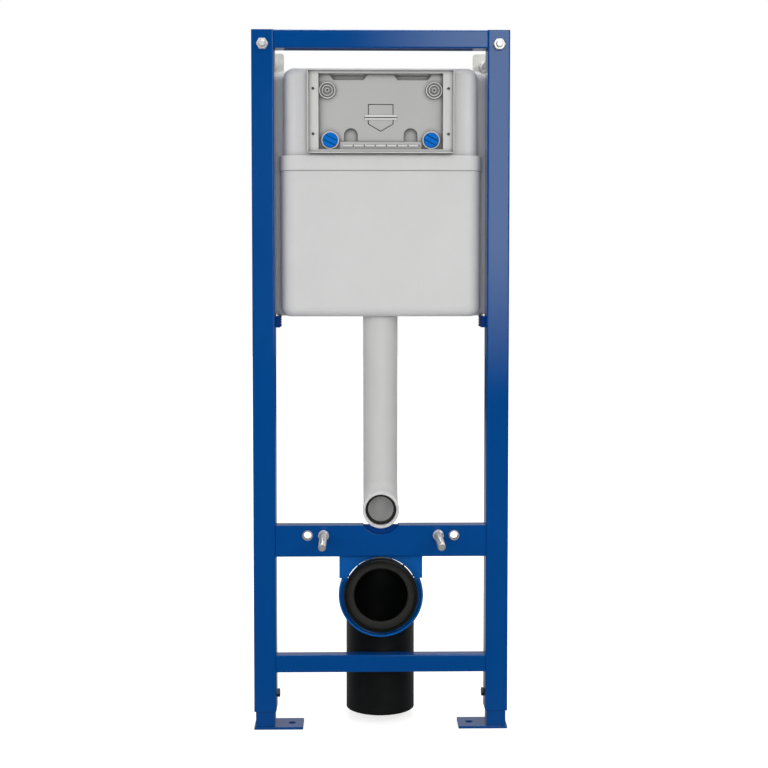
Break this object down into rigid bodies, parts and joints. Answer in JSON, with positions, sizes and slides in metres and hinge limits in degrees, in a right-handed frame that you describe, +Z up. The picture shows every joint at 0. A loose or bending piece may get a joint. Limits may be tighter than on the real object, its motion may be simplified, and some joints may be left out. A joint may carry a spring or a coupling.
{
  "type": "wall hung toilet frame with concealed cistern",
  "caption": "Blue steel installation frame for a wall hung toilet, with adjustable legs, a concealed cistern, flush pipe, pan studs, drain bend and wall rods.",
  "frame": {"origin": "sole of the left foot, on the axis of its floor bolt", "axes": "+Z up, +Y from the front of the frame towards the wall, +X to the right as seen from the front"},
  "size_m": [0.405, 0.348, 1.095],
  "materials": {
    "blue_paint": "satin powder coat",
    "bright_blue_paint": "satin powder coat",
    "bright_zinc": "zinc plated",
    "dark_zinc": "dull zinc plated",
    "galvanised": "galvanised",
    "tank_plastic": "fine grained moulding",
    "cover_plastic": "smooth moulding",
    "pipe_plastic": "smooth",
    "black_plastic": "satin",
    "blue_plastic": "gloss",
    "clip_plastic": "gloss",
    "rubber": "matte"
  },
  "bodies": {
    "legs": {"left_foot": "blue_paint", "left_leg": "blue_paint", "right_foot": "blue_paint", "right_leg": "blue_paint"},
    "frame": {"left_post": "blue_paint", "right_post": "blue_paint", "left_clamp_bolt": "dark_zinc", "right_clamp_bolt": "dark_zinc", "left_wall_rod": "bright_zinc", "right_wall_rod": "bright_zinc", "left_rod_nuts": "bright_zinc", "right_rod_nuts": "bright_zinc", "left_wall_bracket": "galvanised", "right_wall_bracket": "galvanised", "left_pan_stud": "bright_zinc", "right_pan_stud": "bright_zinc", "left_stud_nuts": "bright_zinc", "right_stud_nuts": "bright_zinc", "left_threaded_insert": "bright_zinc", "right_threaded_insert": "bright_zinc", "left_boss": "cover_plastic", "right_boss": "cover_plastic", "left_tank_clip": "clip_plastic", "right_tank_clip": "clip_plastic", "top_bar": "blue_paint", "lower_bar": "blue_paint", "fixing_plate": "blue_paint", "flush_saddle": "clip_plastic", "tank_tub": "tank_plastic", "tank_hood": "tank_plastic", "service_frame": "cover_plastic", "cover_plate": "cover_plastic", "flush_pipe": "pipe_plastic", "flush_seal": "rubber", "drain_bend": "black_plastic", "drain_seal": "rubber", "drain_holder": "bright_blue_paint", "drain_clamp": "bright_blue_paint"},
    "left_knob": {"left_lock_knob": "blue_plastic"},
    "right_knob": {"right_lock_knob": "blue_plastic"}
  },
  "joints": [
    {"name": "height_adjust", "type": "slide", "parent": "legs", "child": "frame", "axis": [0, 0, 1], "range_m": [-0.01, 0.19]},
    {"name": "left_lock_turn", "type": "hinge", "parent": "frame", "child": "left_knob", "pos_m": [0.0625, -0.0025, 0.9265], "axis": [0, -1, 0], "range_deg": [0, 90]},
    {"name": "right_lock_turn", "type": "hinge", "parent": "frame", "child": "right_knob", "pos_m": [0.2195, -0.0025, 0.9265], "axis": [0, -1, 0], "range_deg": [0, 90]}
  ]
}
